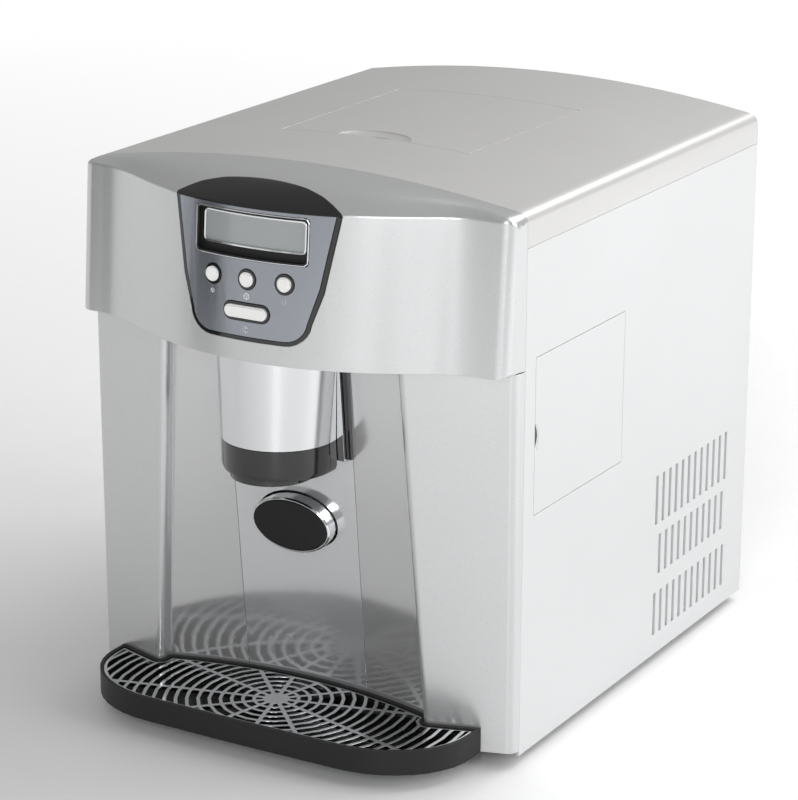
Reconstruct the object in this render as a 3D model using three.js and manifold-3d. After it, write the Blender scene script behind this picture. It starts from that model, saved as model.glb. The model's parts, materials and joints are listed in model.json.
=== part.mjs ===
// Countertop ice maker and ice/water dispenser, built as separate pieces.
// Millimetres, +Z up, front faces -Y, origin at the middle of the footprint.
import * as THREE from 'three';
import { mergeVertices } from 'three/addons/utils/BufferGeometryUtils.js';
import Module from 'manifold-3d';

const wasm = await Module();
wasm.setup();

// ---- driving sizes ----
const WIDTH = 365;            // across the side panels
const DEPTH = 394;            // front seam of the side panels to the back face
const SIDE_H = 408;           // underside of the body to the side edge of the top
const FOOT_H = 8;             // feet below the body
const CROWN = 16;             // rise of the arched top at its middle
const WALL = 2.5;             // moulded and sheet walls
const GAP = 0.4;              // clearance between neighbouring pieces
const SEAM = 0.15;            // half of the fine seam between outer skins

const BEAD_DEPTH = 12;        // how far the hollow is set back behind its rounded edges
const COLUMN_R = 9;           // plan rounding of the columns' outer corners
const SKIRT_H = 24;           // sides of the top cover above the side panels
const EDGE_R = 6;             // rounding along the sides of the top
const CORNER_R = 10;          // plan rounding of the front corners
const FASCIA_H = 113;         // height of the upper front moulding
const FRONT_BOW = 81;         // how far the fascia bulges ahead of the seam
const BOW_R = 215;            // plan radius of that bulge
const LOBE = 29.5;            // how far the fascia's outer ends stand ahead
const LEAN_BACK = 8.5;        // how far the fascia's face leans back over its height
const EDGE_ROLL = 3;          // rounding between the fascia's face and the top
const FASCIA_R = 6;           // rounding of the fascia's lower outer corners
const HOOD_DEPTH = 33;        // the panel's black hood, from the fascia's front back
const SPOUT_SET = 1.5;        // the spout's front behind the fascia's front
const PLATE_GAP = 0.55;       // between the wall and each plate behind the spout

const TRAY_FRONT = 95;        // front of the drip tray ahead of the seam
const TRAY_HALF = 159;        // half width of the drip tray
const TRAY_H = 19;            // height of the drip tray
const GRILLE_PITCH = 8.4;     // spacing of the grille's rings
const GRILLE_BAR = 2.7;       // width of each bar

const LID_HALF = 81.6;        // top lid half width
const LID_T = 4;              // top lid thickness
const PAD_HALF_W = 34;        // oval push pad
const PAD_HALF_H = 22;
const SPOUT_HALF = 43;        // spout half width at its black lower ring
const CHUTE_R = 21.5;         // bore of the ice chute
const BUTTON_R = 5.5;         // round button caps
const SLOT_W = 4.7;           // side vent slots
const FAN_R = 52;
const TROUGH_HALF = 22;       // tilting water trough, half width front to back

// ---- derived positions ----
const HALF = WIDTH / 2;
const BODY_TOP = FOOT_H + SIDE_H;
const FASCIA_Z = BODY_TOP - FASCIA_H;
const TRAY_Z = FOOT_H + 4;
const TRAY_TOP = TRAY_Z + TRAY_H;
const PANEL_TOP = BODY_TOP - SKIRT_H - 2 * SEAM;
const SPOUT_Z = FASCIA_Z - 90;            // bottom of the black ring
const RING_TOP = SPOUT_Z + 23;
const CHUTE_Z = SPOUT_Z + 36;
const PLATE_STEP = WALL + PLATE_GAP;      // each plate stands this far ahead of the next
const DECK_Z = SPOUT_Z - 31;
const PAD_Z = SPOUT_Z - 52;
const across = (share) => share * HALF;
const along = (share) => share * DEPTH;
const up = (share) => FOOT_H + share * SIDE_H;
const lerp = (a, b, t) => a + (b - a) * t;

// ---- turning outlines into solids ----
const PLACE = {
  x: (u, v, w) => [w, u, v],
  y: (u, v, w) => [v, w, u],
  z: (u, v, w) => [u, v, w],
};

function solidFrom(position, index) {
  const mesh = new wasm.Mesh({
    numProp: 3,
    vertProperties: new Float32Array(position),
    triVerts: new Uint32Array(index),
  });
  return new wasm.Manifold(mesh);
}

function toSolid(geometry) {
  const bare = geometry.clone();
  bare.deleteAttribute('normal');
  bare.deleteAttribute('uv');
  const merged = mergeVertices(bare, 1e-4);
  return solidFrom(merged.attributes.position.array, merged.index.array);
}

function toGeometry(solid) {
  const mesh = solid.getMesh();
  const geometry = new THREE.BufferGeometry();
  const position = new Float32Array(mesh.vertProperties);
  geometry.setAttribute('position', new THREE.BufferAttribute(position, 3));
  geometry.setIndex(new THREE.BufferAttribute(new Uint32Array(mesh.triVerts), 1));
  return geometry;
}

function signedVolume(position, index) {
  let sum = 0;
  for (let i = 0; i < index.length; i += 3) {
    const [a, b, c] = [index[i] * 3, index[i + 1] * 3, index[i + 2] * 3];
    sum += position[a] * (position[b + 1] * position[c + 2] - position[b + 2] * position[c + 1]);
    sum += position[a + 1] * (position[b + 2] * position[c] - position[b] * position[c + 2]);
    sum += position[a + 2] * (position[b] * position[c + 1] - position[b + 1] * position[c]);
  }
  return sum;
}

// Skins a row of equal rings of 3-D points and closes both ends.
function skin(rings, startCap, endCap) {
  const count = rings[0].length;
  const position = rings.flat(2);
  const index = [];
  for (let k = 0; k + 1 < rings.length; k += 1) {
    for (let i = 0; i < count; i += 1) {
      const a = k * count + i;
      const b = k * count + ((i + 1) % count);
      index.push(a, b, b + count, a, b + count, a + count);
    }
  }
  const last = (rings.length - 1) * count;
  for (const [a, b, c] of startCap) index.push(c, b, a);
  for (const [a, b, c] of endCap) index.push(last + a, last + b, last + c);
  if (signedVolume(position, index) < 0) index.reverse();
  return solidFrom(position, index);
}

function capOf(ring) {
  const points = ring.map(([u, v]) => new THREE.Vector2(u, v));
  const triangles = THREE.ShapeUtils.triangulateShape(points, []);
  if (triangles.length !== ring.length - 2) throw new Error('an end outline has points in a line');
  return triangles;
}

// levels: [position along the axis, outline in the other two axes], in order
function loft(axis, levels) {
  const flat = levels[0][1].map(([u, v]) => new THREE.Vector2(u, v));
  const turn = THREE.ShapeUtils.isClockWise(flat);
  const ordered = levels.map(([w, ring]) => [w, turn ? [...ring].reverse() : ring]);
  const rings = ordered.map(([w, ring]) => ring.map(([u, v]) => PLACE[axis](u, v, w)));
  return skin(rings, capOf(ordered[0][1]), capOf(ordered[ordered.length - 1][1]));
}

const prism = (axis, ring, from, to) => loft(axis, [[from, ring], [to, ring]]);

function box(x0, x1, y0, y1, z0, z1) {
  return prism('z', [[x0, y0], [x1, y0], [x1, y1], [x0, y1]], z0, z1);
}

function oval(u, v, ru, rv = ru, count = 24) {
  const ring = [];
  for (let i = 0; i < count; i += 1) {
    const a = (2 * Math.PI * i) / count;
    ring.push([u + ru * Math.cos(a), v + rv * Math.sin(a)]);
  }
  return ring;
}

function roundedRect(u0, u1, v0, v1, r, steps = 4) {
  const ring = [];
  const corners = [[u1 - r, v1 - r, 0], [u0 + r, v1 - r, 1], [u0 + r, v0 + r, 2], [u1 - r, v0 + r, 3]];
  for (const [u, v, quarter] of corners) {
    for (let i = 0; i <= steps; i += 1) {
      const a = ((quarter + i / steps) * Math.PI) / 2;
      ring.push([u + r * Math.cos(a), v + r * Math.sin(a)]);
    }
  }
  return ring;
}

// A round bar along an axis; y bars take their centre as (z, x).
const rod = (axis, u, v, r, from, to, count = 24) => prism(axis, oval(u, v, r, r, count), from, to);
const tube = (axis, u, v, r, bore, from, to, count = 24) =>
  rod(axis, u, v, r, from, to, count).subtract(rod(axis, u, v, bore, from - 1, to + 1, count));
const joinAll = (solids) => solids.reduce((sum, next) => sum.add(next));
const cutAll = (solid, cutters) => cutters.reduce((rest, next) => rest.subtract(next), solid);

// ---- the assembly ----
const assembly = new THREE.Group();
assembly.name = 'ice_maker';

function piece(name, solid, colour, roughness = 0.5, metalness = 0) {
  const material = new THREE.MeshStandardMaterial({ color: colour, roughness, metalness });
  material.flatShading = true;
  const mesh = new THREE.Mesh(toGeometry(solid), material);
  mesh.name = name;
  assembly.add(mesh);
}

// ---- shape of the arched top and the bowed fascia ----
function roundOff(distance, limit, r) {
  const past = Math.min(Math.max(distance - (limit - r), 0), r);
  return r - Math.sqrt(Math.max(r * r - past * past, 0));
}

function topHeight(x, inset = 0, share = 1) {
  const crown = share * CROWN * (1 - (x / HALF) ** 2);
  const edge = roundOff(Math.abs(x), HALF - inset, Math.max(EDGE_R - inset, 1));
  return BODY_TOP + crown - inset - edge;
}

function fasciaFront(x, rise, inset = 0) {
  const arc = BOW_R - FRONT_BOW - Math.sqrt(BOW_R ** 2 - (x * 182.5 / HALF) ** 2);
  const blend = 0.12;
  const bow = -Math.log(Math.exp(-blend * arc) + Math.exp(blend * LOBE)) / blend;
  const corner = roundOff(Math.abs(x), HALF - inset, Math.max(CORNER_R - inset, 1));
  return bow + LEAN_BACK * rise + inset * 1.03 + corner;
}

function stationsAcross(inset = 0, middle = inset > 0 ? 24 : 40) {
  const half = HALF - inset;
  const r = Math.max(CORNER_R - inset, 1);
  const ends = [90, 66, 44, 22].map((deg) => half - r + r * Math.sin((deg * Math.PI) / 180));
  const flat = half - r;
  const inner = [];
  for (let i = 0; i <= middle; i += 1) inner.push(lerp(-flat, flat, i / middle));
  return [...ends.map((x) => -x), ...inner, ...[...ends].reverse()];
}

// Side view of the fascia at one station, from its lower front edge round to the seam.
function fasciaSection(x, inset, zLow, yBack) {
  const back = Math.max(yBack, -SEAM);
  const edge = topHeight(x, inset, 0);
  const face = (z) => Math.min(fasciaFront(x, (z - FASCIA_Z) / FASCIA_H, inset), back - 0.6);
  const low = zLow + roundOff(Math.abs(x), HALF - inset, FASCIA_R);
  const y0 = face(edge);
  const r = Math.min(EDGE_ROLL, 0.5 * (back - y0));
  const points = [[face(low), low], [face(edge - r), edge - r], [y0 + 0.3 * r, edge - 0.3 * r]];
  for (const s of [0.05, 0.13, 0.24, 0.4, 0.64, 1]) {
    const rise = 1 - (1 - s) ** 4.5;
    const y = lerp(y0 + r, back, s);
    points.push([y, topHeight(x, inset, rise) + 0.4 * s * (1 - s)]);
  }
  points.push([back, zLow]);
  return points;
}

function fasciaSolid(inset, zLow, yBack) {
  return loft('x', stationsAcross(inset).map((x) => [x, fasciaSection(x, inset, zLow, yBack)]));
}

// A block whose upper face follows the arched top.
function archedBlock(inset, y0, y1, zLow, backRound = 0) {
  const levels = stationsAcross(inset, inset > 0 ? 12 : 18).map((x) => {
    const z = topHeight(x, inset);
    const r = backRound;
    const back = r ? [[y1, z - r], [y1 - 0.3 * r, z - 0.3 * r], [y1 - r, z]] : [[y1, z]];
    return [x, [[y0, zLow], [y1, zLow], ...back, [y0, z]]];
  });
  return loft('x', levels);
}

// ---- shape of the front frame: columns, rounded beads and the hollow between ----
function hollow(t) {
  const beadFront = lerp(-27, -37, t);
  return {
    beadR: lerp(4.5, 5.5, t),
    edge: lerp(across(0.635), across(0.535), t),
    beadFront,
    wallMid: lerp(4, -28, t),
    wallEdge: beadFront + lerp(BEAD_DEPTH, 0.7 * BEAD_DEPTH, t),
  };
}

function halfContour(t) {
  const { beadR, edge, beadFront, wallMid, wallEdge } = hollow(t);
  const points = [];
  for (let i = 0; i <= 7; i += 1) {
    const s = i / 7;
    points.push([edge * s, lerp(wallMid, wallEdge, s * s)]);
  }
  const r = COLUMN_R;
  const cx = HALF - r;
  const slant = Math.atan2(lerp(-10.5, -13.5, t) - beadFront, cx - edge - beadR);
  for (let i = 0; i <= 5; i += 1) {
    const a = Math.PI + (i / 5) * (Math.PI / 2 + slant);
    points.push([edge + beadR + beadR * Math.cos(a), beadFront + beadR + beadR * Math.sin(a)]);
  }
  const [bx, by] = points[points.length - 1];
  const cornerFront = by + (cx - bx + r * Math.sin(slant)) * Math.tan(slant);
  const cy = cornerFront + r * Math.cos(slant);
  for (let i = 0; i <= 5; i += 1) {
    const a = 1.5 * Math.PI + slant + (i / 5) * (Math.PI / 2 - slant);
    points.push([cx + r * Math.cos(a), cy + r * Math.sin(a)]);
  }
  points.push([HALF, Math.max(cy + 0.3, -SEAM)]);
  return points;
}

function frontContour(t) {
  const right = halfContour(t);
  const left = right.slice(1).reverse().map(([x, y]) => [-x, y]);
  return [...left, ...right];
}

// Moves every point of an open outline sideways; positive goes into the body.
function shifted(points, distance) {
  return points.map(([x, y], i) => {
    const [px, py] = points[Math.max(i - 1, 0)];
    const [nx, ny] = points[Math.min(i + 1, points.length - 1)];
    const before = new THREE.Vector2(-(y - py), x - px).normalize();
    const after = new THREE.Vector2(-(ny - y), nx - x).normalize();
    if (i === 0) before.copy(after);
    if (i === points.length - 1) after.copy(before);
    const normal = before.clone().add(after).normalize();
    const reach = distance / Math.max(normal.dot(before), 0.6);
    return [x + normal.x * reach, y + normal.y * reach];
  });
}

const FRAME_LOW = TRAY_Z;
const FRAME_TOP = FASCIA_Z - 2 * SEAM;
const frameRise = (z) => (z - TRAY_TOP) / (FASCIA_Z - TRAY_TOP);

function frameShell() {
  const levels = [0, 0.25, 0.5, 0.75, 1].map((share) => {
    const z = lerp(FRAME_LOW, FRAME_TOP, share);
    const outer = frontContour(frameRise(z));
    const inner = shifted(outer, WALL).reverse();
    return [z, [...outer, ...inner]];
  });
  return loft('z', levels);
}

function frontEnvelope(clear, z0, z1) {
  const levels = [z0, z1].map((z) => {
    const outer = shifted(frontContour(frameRise(z)), -clear);
    return [z, [...outer, [HALF + 60, 0], [HALF + 60, 90], [-HALF - 60, 90], [-HALF - 60, 0]]];
  });
  return loft('z', levels);
}

const wallY = (x, z) => {
  const t = frameRise(z);
  const { edge, wallMid, wallEdge } = hollow(t);
  return lerp(wallMid, wallEdge, (x / edge) ** 2);
};

// ---- cabinet ----
function basePan() {
  const floor = box(-HALF + WALL + GAP, HALF - WALL - GAP, 0.5, DEPTH - WALL - GAP, FOOT_H, FOOT_H + 2.5);
  const lip = box(-HALF + WALL + GAP, HALF - WALL - GAP, 0.5, DEPTH - WALL - GAP, FOOT_H, FOOT_H + 14);
  const inside = box(-HALF + 5, HALF - 5, -1, DEPTH - 5, FOOT_H + 2.5, FOOT_H + 20);
  const tongue = prism('z', trayOutline(9), FOOT_H, FOOT_H + 3.6);
  return floor.add(lip.subtract(inside)).add(tongue);
}

function ventSlots(side) {
  const rows = side > 0
    ? [[0.27, 0.37, 0.565, 12], [0.165, 0.247, 0.584, 11], [0.041, 0.129, 0.567, 12]]
    : [[0.27, 0.37, 0.565, 6], [0.165, 0.247, 0.584, 6]];
  const pitch = side > 0 ? along(0.0297) : along(0.0594);
  const slots = [];
  for (const [low, high, start, count] of rows) {
    for (let i = 0; i < count; i += 1) {
      const y = along(start) + i * pitch;
      const x = side * HALF;
      slots.push(box(x - 6, x + 6, y, y + SLOT_W, up(low), up(high)));
    }
  }
  return slots;
}

const DOOR = { y0: along(0.0414), y1: along(0.402), z0: up(0.447), z1: up(0.7365) };

function sidePanel(side) {
  const outer = side * HALF;
  const inner = side * (HALF - WALL);
  const plate = box(Math.min(outer, inner), Math.max(outer, inner), SEAM, DEPTH - WALL - SEAM,
    FOOT_H, PANEL_TOP);
  return cutAll(plate, ventSlots(side));
}

function rightPanel() {
  const hole = box(HALF - 9, HALF + 9, DOOR.y0 - 0.5, DOOR.y1 + 0.5, DOOR.z0 - 0.5, DOOR.z1 + 0.5);
  return sidePanel(1).subtract(hole);
}

const INLET = { x: across(-0.7), z: up(0.12) };
const DRAIN = { x: across(0.66), z: up(0.075) };

function backPanel() {
  const plate = box(-HALF, HALF, DEPTH - WALL, DEPTH, FOOT_H, PANEL_TOP);
  const cuts = [box(INLET.x - 15, INLET.x + 15, DEPTH - 9, DEPTH + 9, INLET.z - 12, INLET.z + 12)];
  cuts.push(rod('y', DRAIN.z, DRAIN.x, 9, DEPTH - 9, DEPTH + 9));
  for (let i = 0; i < 12; i += 1) {
    const x = across(-0.5) + i * across(0.09);
    cuts.push(box(x - 3, x + 3, DEPTH - 9, DEPTH + 9, up(0.3), up(0.45)));
  }
  return cutAll(plate, cuts);
}

const LID = { y0: along(0.246), y1: along(0.697) };

function topCover() {
  const zLow = BODY_TOP - SKIRT_H;
  const shell = archedBlock(0, SEAM, DEPTH, zLow, 5)
    .subtract(archedBlock(WALL, -5, DEPTH - WALL, zLow - 5));
  const seat = archedBlock(LID_T + GAP, LID.y0 - 8, LID.y1 + 8, BODY_TOP - 40)
    .intersect(box(-LID_HALF - 8, LID_HALF + 8, LID.y0 - 8, LID.y1 + 8, 0, BODY_TOP + 90))
    .subtract(archedBlock(LID_T + GAP + 2.2, LID.y0 - 9, LID.y1 + 9, BODY_TOP - 60));
  const rise = archedBlock(1, LID.y0 - 8, LID.y1 + 8, BODY_TOP - 40)
    .intersect(box(-LID_HALF - 8, LID_HALF + 8, LID.y0 - 8, LID.y1 + 8, 0, BODY_TOP + 90))
    .subtract(archedBlock(LID_T + GAP + 1, LID.y0 - 9, LID.y1 + 9, BODY_TOP - 60))
    .subtract(box(-LID_HALF - 5, LID_HALF + 5, LID.y0 - 5, LID.y1 + 5, 0, BODY_TOP + 90));
  const throat = box(-LID_HALF + 4, LID_HALF - 4, LID.y0 + 4, LID.y1 - 4, 0, BODY_TOP + 90);
  const mouth = archedBlock(-5, LID.y0 - 0.5, LID.y1 + 0.5, BODY_TOP - 5)
    .intersect(box(-LID_HALF - 0.5, LID_HALF + 0.5, LID.y0 - 2, LID.y1 + 2, 0, BODY_TOP + 90))
    .subtract(archedBlock(LID_T + GAP, LID.y0 - 5, LID.y1 + 5, BODY_TOP - 60));
  return shell.add(rise).add(seat).subtract(throat).subtract(mouth);
}

function topLid() {
  const slab = archedBlock(0, LID.y0, LID.y1, BODY_TOP - 40)
    .intersect(box(-LID_HALF, LID_HALF, LID.y0 - 1, LID.y1 + 1, 0, BODY_TOP + 90))
    .subtract(archedBlock(LID_T, LID.y0 - 2, LID.y1 + 2, BODY_TOP - 60));
  const scoop = new THREE.SphereGeometry(1, 28, 14);
  scoop.scale(31, 21, 3.2);
  scoop.translate(0, LID.y0, BODY_TOP + CROWN);
  return slab.subtract(toSolid(scoop));
}

function lidThroat() {
  const z1 = BODY_TOP - 2;
  const z0 = z1 - 26;
  const outer = box(-LID_HALF + 7, LID_HALF - 7, LID.y0 + 7, LID.y1 - 7, z0, z1);
  return outer.subtract(box(-LID_HALF + 9, LID_HALF - 9, LID.y0 + 9, LID.y1 - 9, z0 - 1, z1 + 1));
}

// ---- front frame, fascia and control panel ----
const CHUTE_HOLE = () => rod('y', CHUTE_Z, 0, CHUTE_R + 2.4, -48, 20);
const STRIP_HALF = SPOUT_HALF + 10;

function frontFrame() {
  const strip = box(-STRIP_HALF, STRIP_HALF, -90, 60, FRAME_LOW + 10, FRAME_TOP + 9);
  const shell = frameShell().subtract(strip);
  const bridge = frameShell()
    .intersect(box(-STRIP_HALF - 1, STRIP_HALF + 1, -90, 60, FRAME_TOP - 5, FRAME_TOP + 9));
  return shell.add(bridge);
}

function splashPanel() {
  const strip = box(-STRIP_HALF + GAP, STRIP_HALF - GAP, -90, 60, FRAME_LOW + 10 + GAP,
    FRAME_TOP - 5 - GAP);
  return frameShell().intersect(strip).subtract(padHole(1.1)).subtract(CHUTE_HOLE());
}

// Front view of the control panel: wide at the top, round at its lower corners.
function panelOutline(inset, zTop) {
  const low = FASCIA_Z + 14.7 + inset;
  const r = 19 - inset;
  const foot = 50 - inset;
  const lean = 0.19;
  const half = (z) => foot + 1.5 + lean * (z - low);
  const ring = [];
  for (let i = 0; i <= 6; i += 1) {
    const a = (i / 6) * (Math.PI / 2 - 0.1);
    ring.push([foot - r + r * Math.sin(a) * 1.06, low + r - r * Math.cos(a)]);
  }
  ring.push([half(low + 40), low + 40], [half(zTop), zTop]);
  const left = [...ring].reverse().map(([x, z]) => [-x, z]);
  return [...ring, ...left].map(([x, z]) => [z, x]);
}

// The black hood runs back over the top edge in an arc.
function hoodArea(inset) {
  const ring = [];
  const wide = 72 - inset;
  for (let i = 0; i <= 12; i += 1) {
    const s = -1 + i / 6;
    ring.push([s * wide, HOOD_DEPTH - FRONT_BOW - inset - 14 * s * s]);
  }
  ring.push([wide + 1, -120], [-wide - 1, -120]);
  return prism('z', ring, FASCIA_Z, BODY_TOP + 40);
}

const fasciaLayer = (outer, inner) => fasciaSolid(outer, FASCIA_Z + 8, 0).subtract(
  fasciaSolid(inner, FASCIA_Z + 5, 5));
const frontPrism = (ring) => prism('y', ring, -150, 20);
const surroundArea = (inset) => frontPrism(panelOutline(inset, BODY_TOP + 30)).intersect(hoodArea(inset));

const LCD = { z: FASCIA_Z + 90.3, half: 47.4, tall: 17.3, lift: 1.9, depth: 4.3 };
const BUTTONS = [-30, 0, 30];
const BUTTON_Z = FASCIA_Z + 59.3;
const POWER_Z = FASCIA_Z + 35.8;
const lcdRing = (grow) => roundedRect(LCD.z - LCD.tall - grow, LCD.z + LCD.tall + grow,
  -LCD.half - grow, LCD.half + grow, 3);
const windowRing = (half, tall, r) => roundedRect(LCD.z + LCD.lift - tall, LCD.z + LCD.lift + tall,
  -half, half, r);
const pillRing = (grow) => roundedRect(POWER_Z - 4.6 - grow, POWER_Z + 4.6 + grow,
  -17.5 - grow, 17.5 + grow, 4.5 + grow);

function fascia() {
  const inner = fasciaSolid(WALL, FASCIA_Z + WALL, 5);
  const shell = fasciaSolid(0, FASCIA_Z, -SEAM).subtract(inner);
  const pocket = surroundArea(0).intersect(fasciaSolid(-2, FASCIA_Z + 1, 9)
    .subtract(fasciaSolid(1.5, FASCIA_Z, 12)));
  const through = frontPrism(panelOutline(5, BODY_TOP - 5));
  return shell.subtract(pocket).subtract(through);
}

function controlHoles(grow) {
  const holes = BUTTONS.map((x) => prism('y', oval(BUTTON_Z, x, BUTTON_R + grow, BUTTON_R + grow, 18), -150, 20));
  holes.push(frontPrism(pillRing(grow)));
  return holes;
}

function panelSurround() {
  const skinLayer = fasciaLayer(-0.5, 1.5 - GAP).intersect(surroundArea(0.35));
  const collars = joinAll(controlHoles(1.9)).intersect(fasciaLayer(-1.3, 0.6));
  const recess = surroundAreaFace(3).intersect(fasciaLayer(-6, 0.5));
  const lcdHole = frontPrism(lcdRing(0));
  return cutAll(skinLayer.subtract(recess).add(collars), [lcdHole, ...controlHoles(0.3)]);
}

// Faceplate area: the panel below the hood.
function surroundAreaFace(inset) {
  return frontPrism(panelOutline(inset, BODY_TOP - 3));
}

function controlFaceplate() {
  const layer = fasciaLayer(-0.7, 0.5 - GAP).intersect(surroundAreaFace(3.4));
  return cutAll(layer, [frontPrism(lcdRing(0)), ...controlHoles(2.3)]);
}

// A deep black frame: the window lies at the bottom of its well.
function lcdFrame() {
  const layer = fasciaLayer(-0.9, LCD.depth + 2).intersect(frontPrism(lcdRing(-GAP)));
  const well = frontPrism(lcdRing(-1.8)).intersect(fasciaLayer(-4, LCD.depth));
  const window = frontPrism(windowRing(42, 10.9, 1.6)).intersect(fasciaLayer(-4, LCD.depth + 4));
  const seat = frontPrism(windowRing(43, 11.9, 1.8)).intersect(
    fasciaLayer(LCD.depth + 0.7, LCD.depth + 4));
  return layer.subtract(well).subtract(window).subtract(seat);
}

function lcdScreen() {
  return fasciaLayer(LCD.depth + 0.8, LCD.depth + 1.7).intersect(frontPrism(windowRing(42.6, 11.5, 1.6)));
}

function controlBoard() {
  const y = fasciaFront(0, 0.5) + 24;
  const board = box(-56, 56, y, y + 1.8, FASCIA_Z + 14, FASCIA_Z + 98);
  const chips = [
    box(-40, -22, y + 1.7, y + 5, FASCIA_Z + 24, FASCIA_Z + 40),
    box(8, 34, y + 1.7, y + 9, FASCIA_Z + 60, FASCIA_Z + 78),
    rod('y', FASCIA_Z + 34, 30, 6, y + 1.7, y + 12, 12),
  ];
  return joinAll([board, ...chips]);
}

// A push button: a crowned cap in front and a stem back to the board.
function button(ring, x, z, r) {
  const face = fasciaFront(x, (z - FASCIA_Z) / FASCIA_H);
  const boardY = fasciaFront(0, 0.5) + 24;
  const cap = prism('y', ring(0), face - 2.2, face + 6);
  const crown = prism('y', ring(-1), face - 3, face);
  const stem = rod('y', z, x, r, face + 5, boardY - 2.5, 8);
  return joinAll([cap, crown, stem]);
}

// ---- spout ----
// Plan outline: a round front on two short sides that run back to the wall plates.
const SPOUT_FRONT = SPOUT_SET - FRONT_BOW;

function spoutRing(z, grow, backShift = 0, shapeZ = z) {
  const t = (shapeZ - RING_TOP) / (FASCIA_Z - RING_TOP);
  const half = SPOUT_HALF + 5 * t + grow;
  const centre = SPOUT_FRONT - grow + half;
  const back = wallY(SPOUT_HALF, z) - 2 * PLATE_STEP - 2 * GAP + backShift;
  const a0 = Math.asin(Math.max(Math.min(0, (back - centre) / half), -0.9));
  const start = centre + half * Math.sin(a0);
  const ring = [[half * Math.cos(a0), Math.max(back, start + 0.4)]];
  for (let i = 0; i <= 20; i += 1) {
    const a = lerp(a0, -Math.PI - a0, i / 20);
    ring.push([half * Math.cos(a), centre + half * Math.sin(a)]);
  }
  ring.push([-half * Math.cos(a0), Math.max(back, start + 0.4)]);
  return ring;
}

function spoutPlate(half, step, z0) {
  const plate = frameShell().translate([0, -step, 0]);
  return plate.intersect(box(-half, half, -120, 60, z0, FRAME_TOP - GAP)).subtract(CHUTE_HOLE());
}

function spoutCowl() {
  const [z0, z1] = [RING_TOP + GAP, FASCIA_Z - GAP];
  const outer = loft('z', [z0, z1].map((z) => [z, spoutRing(z, 0)]));
  const inner = loft('z', [z0 - 1, z1 + 1].map((z) => [z, spoutRing(z, -2.2, 4)]));
  return outer.subtract(inner);
}

function spoutBase() {
  const level = (z, grow, back = 0) => [z, spoutRing(z, grow, back, RING_TOP)];
  const outer = loft('z', [level(SPOUT_Z, -1.8), level(SPOUT_Z + 4, -0.3), level(RING_TOP, -0.1)]);
  const within = (grow, back) =>
    loft('z', [level(SPOUT_Z - 9, grow, back), level(SPOUT_Z + 9, grow, back)]);
  const lip = rod('z', 0, SPOUT_FRONT + 33, 31, SPOUT_Z - 4.2, SPOUT_Z + 1, 32).intersect(within(-1.9, -2));
  const cavity = loft('z', [level(SPOUT_Z + 3, -3, -3), level(RING_TOP + 1, -3, -3)]);
  const bore = rod('z', 0, SPOUT_FRONT + 33, 27.5, SPOUT_Z - 8, SPOUT_Z + 8, 32).intersect(within(-4, -5));
  return cutAll(outer.add(lip), [cavity, bore, CHUTE_HOLE()]);
}

const FLAP_Y = wallY(SPOUT_HALF, CHUTE_Z) - 13;

function iceFlap() {
  const disc = prism('y', oval(CHUTE_Z, 0, CHUTE_R + 1, CHUTE_R + 1, 28), FLAP_Y, FLAP_Y + 2);
  const hinge = rod('x', FLAP_Y + 1, CHUTE_Z + CHUTE_R + 3, 1.6, -16, 16, 12);
  const web = box(-12, 12, FLAP_Y, FLAP_Y + 2, CHUTE_Z + CHUTE_R - 3, CHUTE_Z + CHUTE_R + 3);
  return joinAll([disc, web, hinge]);
}

const iceChute = () =>
  tube('y', CHUTE_Z, 0, CHUTE_R + 2, CHUTE_R, FLAP_Y + 2.5, BIN.y0 - GAP, 28);

// ---- push pad ----
const padFace = () => wallY(0, PAD_Z) - 11.5;
const PAD_TILT = 0.12;

function leaning(solid, z, y) {
  const shift = new THREE.Matrix4().makeTranslation(0, -y, -z);
  const turn = new THREE.Matrix4().makeRotationX(PAD_TILT);
  const back = new THREE.Matrix4().makeTranslation(0, y, z);
  const geometry = toGeometry(solid);
  geometry.applyMatrix4(back.multiply(turn).multiply(shift));
  return toSolid(geometry);
}

function padHole(clear) {
  const ring = oval(PAD_Z, 0, PAD_HALF_H + clear, PAD_HALF_W + clear, 32);
  return leaning(prism('y', ring, -60, 60), PAD_Z, padFace());
}

function pushPad() {
  const y = padFace();
  const inner = (c) => oval(PAD_Z, 0, PAD_HALF_H - 2 - c, PAD_HALF_W - 2 - c, 32);
  return leaning(loft('y', [[y - 0.6, inner(0.9)], [y, inner(0)], [y + 3, inner(0)]]), PAD_Z, y);
}

function padRim() {
  const y = padFace();
  const outer = (c) => oval(PAD_Z, 0, PAD_HALF_H - c, PAD_HALF_W - c, 32);
  const body = loft('y', [[y - 0.2, outer(1.2)], [y + 0.8, outer(0)], [y + 17, outer(0)]]);
  const seat = prism('y', outer(2 - 0.35), y - 5, y + 3.35);
  const hollow = prism('y', outer(3.5), y + 6, y + 25);
  const stem = rod('y', PAD_Z, 0, 5, y + 5, y + 26, 16);
  return leaning(body.subtract(seat).subtract(hollow).add(stem), PAD_Z, y);
}

function padSwitch() {
  const y = padFace() + 30;
  return box(-9, 9, y, y + 12, PAD_Z - 9, PAD_Z + 7);
}

// ---- drip tray ----
function trayOutline(inset) {
  const centre = TRAY_HALF * 0.52;
  const a = TRAY_HALF - centre - inset;
  const b = TRAY_FRONT - 30.5 - inset;
  const right = [];
  for (let i = 0; i <= 10; i += 1) {
    const s = (i / 10) * (Math.PI / 2);
    right.push([centre + a * Math.sin(s), -30.5 - b * Math.cos(s)]);
  }
  right.push([TRAY_HALF - inset, 10]);
  const left = [...right].reverse().map(([x, y]) => [-x, y]);
  return [...left, [0, -TRAY_FRONT - 1 + inset], ...right];
}

const trayRegion = (inset, z0, z1) =>
  prism('z', trayOutline(inset), z0, z1).subtract(frontEnvelope(0.7 + inset, z0 - 1, z1 + 1));

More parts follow.
